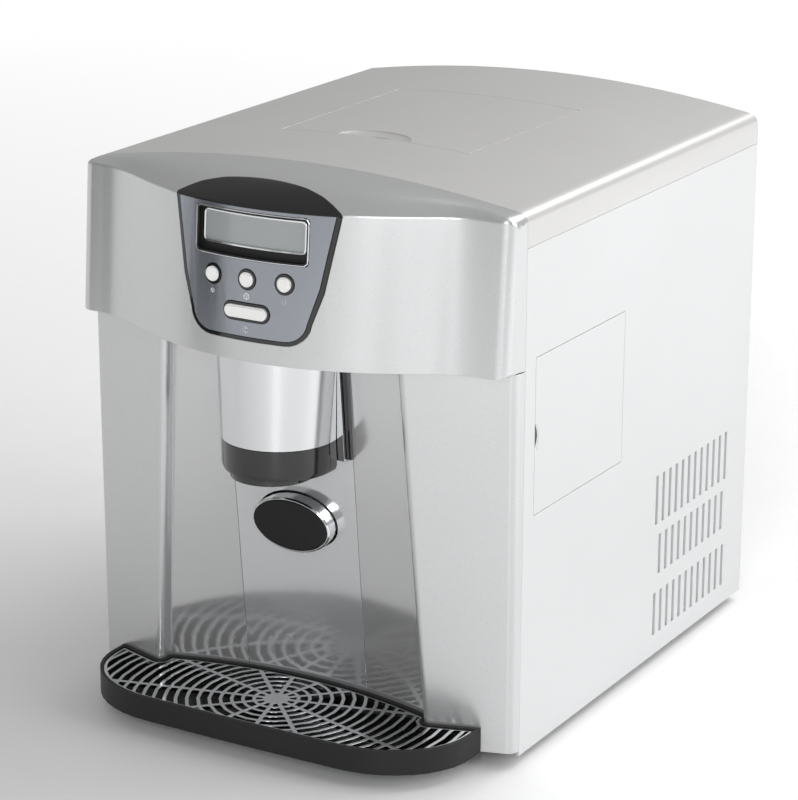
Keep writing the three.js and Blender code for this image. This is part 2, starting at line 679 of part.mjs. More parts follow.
function dripTray() {
  const upper = trayRegion(2.6, TRAY_TOP - 4.5, TRAY_TOP + 5);
  const lower = trayRegion(4.6, TRAY_Z + 2.2, TRAY_TOP);
  return trayRegion(0, TRAY_Z, TRAY_TOP).subtract(upper).subtract(lower);
}

const HUB_Y = -44;

function grilleRings(z0, z1) {
  const rings = [];
  for (let k = 2; k * GRILLE_PITCH < TRAY_HALF + 8; k += 1) {
    const r = k * GRILLE_PITCH;
    const count = r < 60 ? 24 : 36;
    rings.push(tube('z', 0, HUB_Y, r + GRILLE_BAR / 2, r - GRILLE_BAR / 2, z0, z1, count));
  }
  return rings;
}

function dripGrille() {
  const z1 = TRAY_TOP - 1.2;
  const z0 = z1 - 2.9;
  const area = trayRegion(3, z0, z1);
  const rim = area.subtract(trayRegion(5.4, z0 - 1, z1 + 1));
  const bars = [...grilleRings(z0, z1), rod('z', 0, HUB_Y, GRILLE_PITCH * 1.2, z0, z1, 24)];
  for (let k = 0; k < 12; k += 1) {
    const a = ((15 + 30 * k) * Math.PI) / 180;
    const bar = new THREE.BoxGeometry(TRAY_HALF * 1.1, 3.2, z1 - z0);
    bar.translate(TRAY_HALF * 0.55 + GRILLE_PITCH, 0, (z0 + z1) / 2);
    bar.rotateZ(a);
    bar.translate(0, HUB_Y, 0);
    bars.push(toSolid(bar));
  }
  return joinAll(bars).intersect(area).add(rim);
}

// ---- side door and water tank ----
function sideDoor() {
  const plate = box(HALF - WALL, HALF, DOOR.y0, DOOR.y1, DOOR.z0, DOOR.z1);
  const mid = lerp(DOOR.z0, DOOR.z1, 0.49);
  const notch = new THREE.SphereGeometry(1, 24, 14);
  notch.scale(1.7, 5.5, 12);
  notch.translate(HALF, DOOR.y0, mid);
  return plate.subtract(toSolid(notch));
}

const BAY = { x: across(0.535), y0: DOOR.y0 - 4, y1: DOOR.y1 + 4, z0: DOOR.z0 - 4, z1: DOOR.z1 + 4 };

function tankBay() {
  const right = HALF - WALL - GAP;
  const outer = box(BAY.x, right, BAY.y0, BAY.y1, BAY.z0, BAY.z1);
  return outer.subtract(box(BAY.x + 2, right + 9, BAY.y0 + 2, BAY.y1 - 2, BAY.z0 + 2, BAY.z1 - 2));
}

function waterTank() {
  const x0 = BAY.x + 3;
  const x1 = HALF - 12;
  const z0 = BAY.z0 + 2 + GAP;
  const z1 = BAY.z1 - 12;
  const outer = prism('z', roundedRect(x0, x1, BAY.y0 + 5, BAY.y1 - 5, 10, 4), z0, z1);
  const inner = prism('z', roundedRect(x0 + 2, x1 - 2, BAY.y0 + 7, BAY.y1 - 7, 8, 4), z0 + 2, z1 + 3);
  return outer.subtract(inner);
}

// ---- ice store ----
const BIN = { half: across(0.44), y0: 12, y1: along(0.475), z0: CHUTE_Z - CHUTE_R - 1, z1: CHUTE_Z + 92 };
const FOAM = 11;

function iceBin() {
  const outer = box(-BIN.half, BIN.half, BIN.y0, BIN.y1, BIN.z0 - 2, BIN.z1);
  const inner = box(-BIN.half + 2, BIN.half - 2, BIN.y0 + 2, BIN.y1 - 2, BIN.z0, BIN.z1 + 5);
  const outlet = rod('y', CHUTE_Z, 0, CHUTE_R, BIN.y0 - 5, BIN.y0 + 5, 28);
  const shaft = rod('y', CHUTE_Z, 0, 5, BIN.y1 - 5, BIN.y1 + 5, 16);
  return outer.subtract(inner).subtract(outlet).subtract(shaft);
}

function binInsulation() {
  const g = GAP;
  const block = box(-BIN.half - FOAM, BIN.half + FOAM, BIN.y0 - FOAM, BIN.y1 + FOAM,
    DECK_Z + WALL + GAP, BIN.z1 - 2);
  const well = box(-BIN.half - g, BIN.half + g, BIN.y0 - g, BIN.y1 + g, BIN.z0 - 2 - g, BIN.z1 + 5);
  const front = rod('y', CHUTE_Z, 0, CHUTE_R + 2.4, -60, BIN.y0 + 5, 28);
  const shaft = rod('y', CHUTE_Z, 0, 6, BIN.y1 - 5, BIN.y1 + 50, 16);
  return block.subtract(well).subtract(front).subtract(shaft);
}

function auger() {
  const [y0, y1] = [BIN.y0 + 4, BIN.y1 - 6];
  const rings = [];
  const turns = 3.5;
  const steps = 30;
  for (let k = 0; k <= steps; k += 1) {
    const a = (k / steps) * turns * 2 * Math.PI;
    const y = lerp(y0 + 6, y1 - 6, k / steps);
    const at = (r, dy) => [r * Math.cos(a), y + dy, CHUTE_Z + r * Math.sin(a)];
    rings.push([at(3, -1.2), at(18, -1.2), at(18, 1.2), at(3, 1.2)]);
  }
  const cap = [[0, 1, 2], [0, 2, 3]];
  const flight = skin(rings, cap, cap);
  return flight.add(rod('y', CHUTE_Z, 0, 4.5, y0, BIN.y1 + FOAM + 6, 16));
}

function augerMotor() {
  const y = BIN.y1 + FOAM + GAP;
  const gearbox = box(-26, 26, y, y + 22, CHUTE_Z - 24, CHUTE_Z + 24);
  const motor = rod('y', CHUTE_Z, 0, 18, y + 20, y + 46, 24);
  return gearbox.add(motor).subtract(rod('y', CHUTE_Z, 0, 5, y - 5, y + 8, 16));
}

function deck() {
  const plate = box(-HALF + WALL + GAP, HALF - WALL - GAP, 2, along(0.535), DECK_Z, DECK_Z + WALL);
  const bay = box(BAY.x - GAP, HALF, BAY.y0 - GAP, BAY.y1 + GAP, BAY.z0 - GAP, BAY.z1);
  return plate.subtract(bay);
}

function bulkhead() {
  const y = along(0.53);
  return box(-HALF + 6, HALF - 6, y, y + 2, FOOT_H + 2.8, DECK_Z - GAP);
}

// ---- ice making ----
const PIVOT = { y: LID.y0 + along(0.368), z: BODY_TOP - 50 };

function evaporatorCarrier() {
  const half = LID_HALF - 5;
  const z1 = BODY_TOP - 28 - GAP;
  const plate = box(-half, half, PIVOT.y - 20, LID.y1 - 5, z1 - 4, z1);
  const cheeks = [-1, 1].map((side) => {
    const x = side * (half - 2);
    const hole = rod('x', PIVOT.y, PIVOT.z, 3, x - 5, x + 5, 16);
    return box(x - 2, x + 2, PIVOT.y - 9, PIVOT.y + 9, PIVOT.z - 9, z1 - 2).subtract(hole);
  });
  return joinAll([plate, ...cheeks]);
}

function evaporator() {
  const z1 = BODY_TOP - 32 - 2 * GAP;
  const bodies = [box(-62, 62, PIVOT.y - 11, PIVOT.y + 11, z1 - 9, z1)];
  for (let i = -3; i <= 3; i += 1) {
    const x = i * 18;
    bodies.push(loft('z', [[PIVOT.z - 26, oval(x, PIVOT.y, 2.5, 2.5, 8)],
      [PIVOT.z - 23, oval(x, PIVOT.y, 4.5, 4.5, 8)], [z1 - 8, oval(x, PIVOT.y, 4.5, 4.5, 8)]]));
  }
  return joinAll(bodies);
}

function waterTrough() {
  const { y, z } = PIVOT;
  const w = TROUGH_HALF;
  const ring = (c) => [[y - w + c, z - 5], [y - w + c, z - 28], [y - 12, z - 36 + c], [y + 12, z - 36 + c],
    [y + w - c, z - 28], [y + w - c, z - 5]];
  const end = LID_HALF - 11.6;
  const shell = prism('x', ring(0), -end, end);
  const hollow = prism('x', ring(2).map(([a, b]) => [a, b > z - 6 ? b + 9 : b]), -end + 2, end - 2);
  const ears = [-1, 1].map((side) => {
    const x0 = side * (end - 1);
    const ear = box(x0 - 1, x0 + 1, y - 5, y + 5, z - 12, z + 5);
    return ear.add(rod('x', y, z, 2.5, Math.min(x0, x0 + side * 8), Math.max(x0, x0 + side * 8), 16));
  });
  return joinAll([shell.subtract(hollow), ...ears]);
}

// ---- machinery in the back ----
function compressor() {
  const [x, y] = [across(-0.38), along(0.77)];
  const z = FOOT_H + 2.5 + GAP;
  const levels = [[10, 44, 40], [16, 50, 46], [84, 50, 46], [104, 44, 40], [116, 30, 27], [121, 10, 9]];
  const shell = loft('z', levels.map(([h, a, b]) => [z + h, oval(x, y, a, b, 24)]));
  const feet = prism('z', roundedRect(x - 58, x + 58, y - 40, y + 40, 12), z + 6, z + 11);
  const bushes = [[-48, -30], [48, -30], [-48, 30], [48, 30]]
    .map(([dx, dy]) => rod('z', x + dx, y + dy, 7, z, z + 8, 8));
  return joinAll([shell, feet, ...bushes]);
}

const COND = { x: across(0.86), y0: along(0.575), y1: along(0.925), z1: up(0.385) };

function condenser() {
  const z0 = FOOT_H + 2.5 + GAP;
  const { x, y0, y1, z1 } = COND;
  const bodies = [box(x - 4, x + 4, y0 + 4, y1 - 4, z0, z1)];
  const count = 13;
  for (let i = 0; i < count; i += 1) {
    const y = lerp(y0 + 6, y1 - 6, i / (count - 1));
    bodies.push(box(x - 9, x + 9, y - 0.8, y + 0.8, z0 + 6, z1 - 5));
  }
  return joinAll(bodies);
}

const FAN = { x: across(0.7), y: along(0.75), z: up(0.19) };

function fanShroud() {
  const z0 = FOOT_H + 2.5 + GAP;
  const x = FAN.x + 16;
  const plate = box(x, x + 2.5, COND.y0 + 1, COND.y1 - 1, z0, COND.z1);
  const ring = tube('x', FAN.y, FAN.z, FAN_R + 5, FAN_R + 2.5, x - 20, x + 1, 36);
  const foot = box(x - 18, x + 2, FAN.y - 30, FAN.y + 30, z0, z0 + 2.5);
  const hole = rod('x', FAN.y, FAN.z, FAN_R + 2.5, x - 22, x + 9, 36);
  return plate.add(ring).subtract(hole).add(foot);
}

function fan() {
  const { x, y, z } = FAN;
  const bodies = [rod('x', y, z, 14, x - 9, x + 8, 24)];
  for (let i = 0; i < 5; i += 1) {
    const blade = new THREE.BoxGeometry(2, FAN_R - 10, 24);
    blade.rotateY(0.95);
    blade.translate(0, FAN_R / 2 + 5, 0);
    const turn = new THREE.Matrix4().makeRotationY(0);
    blade.applyMatrix4(turn);
    blade.rotateX((i / 5) * 2 * Math.PI);
    blade.translate(x + 1, y, z);
    bodies.push(toSolid(blade));
  }
  const disc = rod('x', y, z, FAN_R, x - 9, x + 11, 40);
  return joinAll(bodies).intersect(disc);
}

function fanMotor() {
  const { x, y, z } = FAN;
  const z0 = FOOT_H + 2.5 + GAP;
  const can = rod('x', y, z, 16, x - 38, x - 9 - GAP, 24);
  const post = box(x - 34, x - 14, y - 5, y + 5, z0, z);
  const foot = box(x - 40, x - 8, y - 18, y + 18, z0, z0 + 2.5);
  return joinAll([can, post, foot]);
}

function waterPump() {
  const z0 = FOOT_H + 2.5 + GAP;
  const [x, y] = [across(0.45), along(0.3)];
  const can = rod('x', y, z0 + 24, 20, x - 28, x + 18, 24);
  const foot = box(x - 24, x + 14, y - 20, y + 20, z0, z0 + 8);
  const port = rod('z', x - 20, y, 5, z0 + 30, z0 + 58, 14);
  return joinAll([can, foot, port]);
}

function powerInlet() {
  const { x, z } = INLET;
  const flange = box(x - 19, x + 19, DEPTH, DEPTH + 2, z - 15, z + 15);
  const body = box(x - 14.6, x + 14.6, DEPTH - 22, DEPTH + 1, z - 11.6, z + 11.6);
  const socket = box(x - 11, x + 11, DEPTH - 14, DEPTH + 9, z - 7, z + 7);
  const pins = [-6, 0, 6].map((dx) => box(x + dx - 1, x + dx + 1, DEPTH - 15, DEPTH - 3, z - 3, z + 3));
  return joinAll([flange.translate([0, GAP, 0]).add(body).subtract(socket), ...pins]);
}

function drainCap() {
  const { x, z } = DRAIN;
  const plug = rod('y', z, x, 8.5, DEPTH - 12, DEPTH + 2, 24);
  const head = rod('y', z, x, 12, DEPTH + GAP, DEPTH + 5, 24);
  const grip = box(x - 2, x + 2, DEPTH + 4, DEPTH + 9, z - 9, z + 9);
  return joinAll([plug, head, grip]);
}

function airFilter(side) {
  const x0 = side * (HALF - WALL - 3.6);
  const x1 = side * (HALF - WALL - 0.6);
  return box(Math.min(x0, x1), Math.max(x0, x1), along(0.55), along(0.935), FOOT_H + 14.6, up(0.385));
}

function foot(sx, back) {
  const x = sx * (HALF - 30);
  const y = back ? DEPTH - 32 : 24;
  const levels = [[0, 11], [1.2, 12.5], [FOOT_H - 0.1, 13.5]];
  return loft('z', levels.map(([z, r]) => [z, oval(x, y, r, r, 20)]));
}

// ---- everything in place ----
const SILVER = 0xc9cbcd;
const TOPGREY = 0xc0c0be;
const BLACK = 0x17181a;
const STEEL = 0xb9bcc0;
const PALE = 0xe4e6e6;

piece('base_pan', basePan(), 0x9a9c9e, 0.6);
piece('left_side_panel', sidePanel(-1), SILVER, 0.45);
piece('right_side_panel', rightPanel(), SILVER, 0.45);
piece('back_panel', backPanel(), SILVER, 0.5);
piece('top_cover', topCover(), TOPGREY, 0.45);
piece('front_frame', frontFrame(), SILVER, 0.35);
piece('splash_panel', splashPanel(), 0xd4d6d8, 0.25);
piece('fascia', fascia(), SILVER, 0.35);
piece('panel_surround', panelSurround(), BLACK, 0.15);
piece('control_faceplate', controlFaceplate(), 0x8d939b, 0.35, 0.5);
piece('lcd_frame', lcdFrame(), 0x0e0f10, 0.3);
piece('lcd_screen', lcdScreen(), 0x8f9696, 0.2);
piece('control_board', controlBoard(), 0x2c6b43, 0.6);
BUTTONS.forEach((x, i) => {
  const ring = (c) => oval(BUTTON_Z, x, BUTTON_R + c, BUTTON_R + c, 18);
  piece(`select_button_${i + 1}`, button(ring, x, BUTTON_Z, 3), 0xf0f0ee, 0.35);
});
piece('power_button', button(pillRing, 0, POWER_Z, 4), 0xf0f0ee, 0.35);
piece('spout_carrier', spoutPlate(STRIP_HALF, PLATE_STEP, SPOUT_Z + 8), BLACK, 0.3);
piece('spout_trim', spoutPlate(SPOUT_HALF + 6, 2 * PLATE_STEP, SPOUT_Z + 7), PALE, 0.15, 0.9);
piece('spout_cowl', spoutCowl(), 0xb4b6b8, 0.35, 0.4);
piece('spout_base', spoutBase(), BLACK, 0.15);
piece('ice_flap', iceFlap(), 0x3a3c3e, 0.5);
piece('ice_chute', iceChute(), PALE, 0.4);
piece('push_pad', pushPad(), 0x1f2022, 0.6);
piece('pad_rim', padRim(), STEEL, 0.15, 1);
piece('pad_switch', padSwitch(), 0x303236, 0.6);
piece('drip_tray', dripTray(), 0x2c2c2e, 0.45);
piece('drip_grille', dripGrille(), STEEL, 0.2, 0.9);
piece('top_lid', topLid(), TOPGREY, 0.45);
piece('lid_throat', lidThroat(), PALE, 0.5);
piece('side_door', sideDoor(), SILVER, 0.45);
piece('tank_bay', tankBay(), PALE, 0.5);
piece('water_tank', waterTank(), 0xcfe0ea, 0.15);
piece('ice_bin', iceBin(), 0xeef2f4, 0.3);
piece('bin_insulation', binInsulation(), 0xf5f5f2, 0.9);
piece('auger', auger(), STEEL, 0.3, 0.9);
piece('auger_motor', augerMotor(), 0x55585c, 0.5, 0.5);
piece('deck', deck(), STEEL, 0.5, 0.6);
piece('bulkhead', bulkhead(), STEEL, 0.5, 0.6);
piece('evaporator_carrier', evaporatorCarrier(), PALE, 0.5);
piece('evaporator', evaporator(), 0xcaccce, 0.3, 0.9);
piece('water_trough', waterTrough(), 0xdfe6ea, 0.4);
piece('compressor', compressor(), 0x1b1c1e, 0.45);
piece('condenser', condenser(), 0xa9adb0, 0.4, 0.8);
piece('fan_shroud', fanShroud(), 0x2a2b2d, 0.6);
piece('fan', fan(), 0x3b3d40, 0.5);
piece('fan_motor', fanMotor(), 0x6b6e72, 0.4, 0.6);
piece('water_pump', waterPump(), 0x4a4d52, 0.5);
piece('power_inlet', powerInlet(), 0x1a1a1c, 0.5);
piece('drain_cap', drainCap(), 0x2a2b2d, 0.6);
piece('right_air_filter', airFilter(1), 0xd6d8d8, 0.9);
piece('left_air_filter', airFilter(-1), 0xd6d8d8, 0.9);
[[-1, 0, 'front_left'], [1, 0, 'front_right'], [-1, 1, 'back_left'], [1, 1, 'back_right']]
  .forEach(([sx, back, where]) => piece(`foot_${where}`, foot(sx, back), 0x222224, 0.8));

// Put the origin at the middle of the footprint.
const rearmost = DEPTH + 9;
assembly.position.y = -(rearmost - TRAY_FRONT - 1) / 2;
assembly.updateMatrixWorld(true);

export default assembly;
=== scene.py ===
# %% [markdown]
# # An ice maker, dressed for its portrait
#
# The working model of this countertop ice maker is already packed: panels, lid,
# door, buttons, tray and the parts inside. This lesson gives it finishes, light
# and small details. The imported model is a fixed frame: nothing in it moves here,
# and every new piece takes its place from the frame's own boxes.

import json
import math

import bmesh
import bpy
from mathutils import Euler, Matrix, Vector
from mathutils.bvhtree import BVHTree


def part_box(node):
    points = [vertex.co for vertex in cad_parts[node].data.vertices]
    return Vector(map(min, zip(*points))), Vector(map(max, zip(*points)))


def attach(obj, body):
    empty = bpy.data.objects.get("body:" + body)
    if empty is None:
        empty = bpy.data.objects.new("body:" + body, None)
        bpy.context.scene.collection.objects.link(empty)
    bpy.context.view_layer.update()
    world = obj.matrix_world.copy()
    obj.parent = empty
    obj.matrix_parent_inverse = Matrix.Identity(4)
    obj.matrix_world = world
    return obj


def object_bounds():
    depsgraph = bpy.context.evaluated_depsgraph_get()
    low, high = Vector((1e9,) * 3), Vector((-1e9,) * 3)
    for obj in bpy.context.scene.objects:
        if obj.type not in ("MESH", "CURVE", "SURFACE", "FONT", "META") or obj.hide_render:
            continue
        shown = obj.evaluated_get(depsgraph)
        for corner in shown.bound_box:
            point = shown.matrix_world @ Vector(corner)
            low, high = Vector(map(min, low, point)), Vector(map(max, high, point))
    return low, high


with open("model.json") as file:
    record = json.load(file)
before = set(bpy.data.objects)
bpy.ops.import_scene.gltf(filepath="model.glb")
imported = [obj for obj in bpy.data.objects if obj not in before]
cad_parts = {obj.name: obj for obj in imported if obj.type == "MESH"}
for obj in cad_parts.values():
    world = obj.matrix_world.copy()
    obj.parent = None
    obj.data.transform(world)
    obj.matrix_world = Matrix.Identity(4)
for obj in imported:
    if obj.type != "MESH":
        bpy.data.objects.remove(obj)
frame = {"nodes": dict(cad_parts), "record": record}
nodes = frame["nodes"]
record = frame["record"]
cad_low, cad_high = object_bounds()

# %% [markdown]
# ## The camera
#
# The machine is seen from above and from its right, so the front, the top and
# the service side all show. A long lens keeps its uprights nearly parallel, as a
# catalogue picture does. A short lens from close by would splay them.

# %% Make the camera
MM = 0.001
camera_data = bpy.data.cameras.new("portrait_camera")
camera_data.sensor_width = 36.0
camera_data.lens = 132.63
camera = bpy.data.objects.new("portrait_camera", camera_data)
camera.location = (1.1061, -1.9103, 0.9083)
camera.rotation_euler = Euler([math.radians(a) for a in (72.459, -0.221, 30.369)])
bpy.context.scene.collection.objects.link(camera)
bpy.context.scene.camera = camera
bpy.context.scene.view_settings.view_transform = "Standard"
print("camera", [round(c, 3) for c in camera.location])

# %% [markdown]
# ## Floor and light
#
# Silver plastic shows its room more than itself, so the room is the first
# finish. A pale floor and a pale sky keep the metal bright. A large soft light
# on the right fills the side panel, one from behind and above lights the top, and a
# narrow one ahead draws the upright streaks on the spout and the columns. Two dark
# cards that only reflections can see give the silver its darker bands.

# %% Make the floor and the sky
SKY_STRENGTH = 0.36
CARD_GREY = (0.05, 0.05, 0.05, 1.0)
MIDDLE = (0.0, 0.0, 0.22)


def paint_world():
    """A plain pale sky."""
    world = bpy.data.worlds.new("studio_sky")
    bpy.context.scene.world = world
    world.use_nodes = True
    background = world.node_tree.nodes["Background"]
    background.inputs["Color"].default_value = (1.0, 1.0, 1.0, 1.0)
    background.inputs["Strength"].default_value = SKY_STRENGTH


def plain_floor(half=6.0):
    """A wide pale floor under the feet, which isn't part of the machine."""
    mesh = bpy.data.meshes.new("studio_floor")
    z = cad_low.z - 0.0002
    corners = [(-half, -half, z), (half, -half, z), (half, half, z), (-half, half, z)]
    mesh.from_pydata(corners, [], [(0, 1, 2, 3)])
    floor = bpy.data.objects.new("studio_floor", mesh)
    bpy.context.scene.collection.objects.link(floor)
    return floor


def face_towards(obj, place, aim):
    """Puts a lamp or card at place and turns its front to aim."""
    obj.location = place
    obj.rotation_euler = (Vector(place) - Vector(aim)).to_track_quat("Z", "Y").to_euler()


def soft_light(name, place, aim, size, power):
    """A rectangular soft white light at place that faces aim."""
    data = bpy.data.lights.new(name, "AREA")
    data.shape = "RECTANGLE"
    data.size, data.size_y = size
    data.energy = power
    lamp = bpy.data.objects.new(name, data)
    face_towards(lamp, place, aim)
    bpy.context.scene.collection.objects.link(lamp)
    return lamp


def dark_card(name, place, aim, size):
    """A dark card that only reflections see: it draws one soft band on the metal."""
    mesh = bpy.data.meshes.new(name)
    w, h = size[0] / 2, size[1] / 2
    mesh.from_pydata([(-w, -h, 0), (w, -h, 0), (w, h, 0), (-w, h, 0)], [], [(0, 1, 2, 3)])
    cloth = bpy.data.materials.new(name)
    cloth.use_nodes = True
    shader = cloth.node_tree.nodes["Principled BSDF"]
    shader.inputs["Base Color"].default_value = CARD_GREY
    mesh.materials.append(cloth)
    card = bpy.data.objects.new(name, mesh)
    face_towards(card, place, aim)
    bpy.context.scene.collection.objects.link(card)
    card.visible_camera = card.visible_diffuse = card.visible_shadow = False
    return card


paint_world()
floor = plain_floor()
soft_light("side_softbox", (2.4, 0.2, 1.3), MIDDLE, (1.2, 1.6), 22)
soft_light("top_softbox", (0.9, 1.5, 2.3), MIDDLE, (2.2, 1.8), 50)
soft_light("front_softbox", (1.0, -2.4, 1.1), MIDDLE, (0.55, 1.5), 20)
dark_card("left_card", (-1.25, -1.15, 0.45), MIDDLE, (0.5, 1.3))
dark_card("right_card", (0.62, -1.45, 0.15), MIDDLE, (0.16, 1.2))
print("floor, sky, three soft lights and two cards")

# %% [markdown]
# ## A small kit for finishes
#
# Every finish here is built from nodes: a slow noise that shifts the colour a
# little, a fine grain that breaks up the shine, and a mask for worn edges. The
# mask compares the rounded normal with the flat one, so it lights up only where
# two faces meet. A picture file could do this, but it would not fit every part.

# %% Helpers that build a finish
def add(tree, kind, **inputs):
    """A shader node of one kind, with its plain settings and its sockets set."""
    node = tree.nodes.new(kind)
    for key, value in inputs.items():
        if hasattr(node, key):
            setattr(node, key, value)
        else:
            node.inputs[key.replace("_", " ")].default_value = value
    return node


def place_of(tree, stretch=(1, 1, 1)):
    """The point on the machine in metres, stretched if the grain runs one way."""
    where = add(tree, "ShaderNodeTexCoord")
    mapping = add(tree, "ShaderNodeMapping")
    mapping.inputs["Scale"].default_value = stretch
    tree.links.new(where.outputs["Object"], mapping.inputs["Vector"])
    return mapping.outputs["Vector"]


def noise_of(tree, where, scale, detail=3.0):
    """Soft noise with about scale lumps to the metre."""
    noise = add(tree, "ShaderNodeTexNoise", Scale=scale, Detail=detail)
    tree.links.new(where, noise.inputs["Vector"])
    return noise.outputs["Fac"]


def ranged(tree, value, low, high):
    """value, spread over low to high."""
    spread = add(tree, "ShaderNodeMapRange", From_Min=0.3, From_Max=0.7)
    spread.inputs["To Min"].default_value = low
    spread.inputs["To Max"].default_value = high
    tree.links.new(value, spread.inputs["Value"])
    return spread.outputs["Result"]


def mixed(tree, factor, first, second):
    """A blend of two colours, each a colour or a socket."""
    mix = add(tree, "ShaderNodeMix", data_type="RGBA")
    for socket, colour in ((mix.inputs[6], first), (mix.inputs[7], second)):
        if hasattr(colour, "links"):
            tree.links.new(colour, socket)
        else:
            socket.default_value = colour
    tree.links.new(factor, mix.inputs[0])
    return mix.outputs[2]


def edge_mask(tree, radius):
    """1 along the sharp edges, 0 on the open faces."""
    rounded = add(tree, "ShaderNodeBevel", samples=6, Radius=radius)
    flat = add(tree, "ShaderNodeNewGeometry")
    agree = add(tree, "ShaderNodeVectorMath", operation="DOT_PRODUCT")
    tree.links.new(rounded.outputs["Normal"], agree.inputs[0])
    tree.links.new(flat.outputs["Normal"], agree.inputs[1])
    mask = add(tree, "ShaderNodeMapRange", From_Min=0.985, From_Max=0.80)
    tree.links.new(agree.outputs["Value"], mask.inputs["Value"])
    return mask.outputs["Result"]


def tint(colour, by):
    """colour made lighter or darker."""
    return tuple(min(1.0, max(0.0, c * by)) for c in colour[:3]) + (1.0,)


def finish(name, colour, rough, metal=0.0, grain=(900, 0.05), mottle=0.04,
           stretch=(1, 1, 1), worn=None, coat=0.0, round_edge=0.0005, broad=7.0, shine=0.5):
    """A material: mottled colour, grained roughness and bump, and worn edges."""
    material = bpy.data.materials.new(name)
    material.use_nodes = True
    tree = material.node_tree
    shader = tree.nodes["Principled BSDF"]
    where = place_of(tree, stretch)
    slow = noise_of(tree, place_of(tree), broad, 4.0)
    fine = noise_of(tree, where, grain[0], 4.0)
    base = mixed(tree, ranged(tree, slow, 0.0, 1.0),
                 tint(colour, 1 - mottle), tint(colour, 1 + mottle))
    if worn:
        base = mixed(tree, edge_mask(tree, round_edge * 1.6), base, tint(worn, 1.0))
    tree.links.new(base, shader.inputs["Base Color"])
    tree.links.new(ranged(tree, fine, rough[0], rough[1]), shader.inputs["Roughness"])
    shader.inputs["Metallic"].default_value = metal
    shader.inputs["Specular IOR Level"].default_value = shine
    shader.inputs["Coat Weight"].default_value = coat
    shader.inputs["Coat Roughness"].default_value = 0.08
    rounded = add(tree, "ShaderNodeBevel", samples=6, Radius=round_edge)
    bump = add(tree, "ShaderNodeBump", Strength=grain[1], Distance=0.0003)
    tree.links.new(fine, bump.inputs["Height"])
    tree.links.new(rounded.outputs["Normal"], bump.inputs["Normal"])
    tree.links.new(bump.outputs["Normal"], shader.inputs["Normal"])
    return material


# %% [markdown]
# ## The finishes
#
# The shell is plastic painted silver, so it is partly metallic under a thin
# clear coat. The side panels are painted sheet and duller. The wall behind the
# cup is polished enough to mirror the grille. The trim is chrome, the spout ring
# and the display surround are gloss black, and the tray is grained charcoal.
# Each is one call, and the difference is in a handful of numbers.

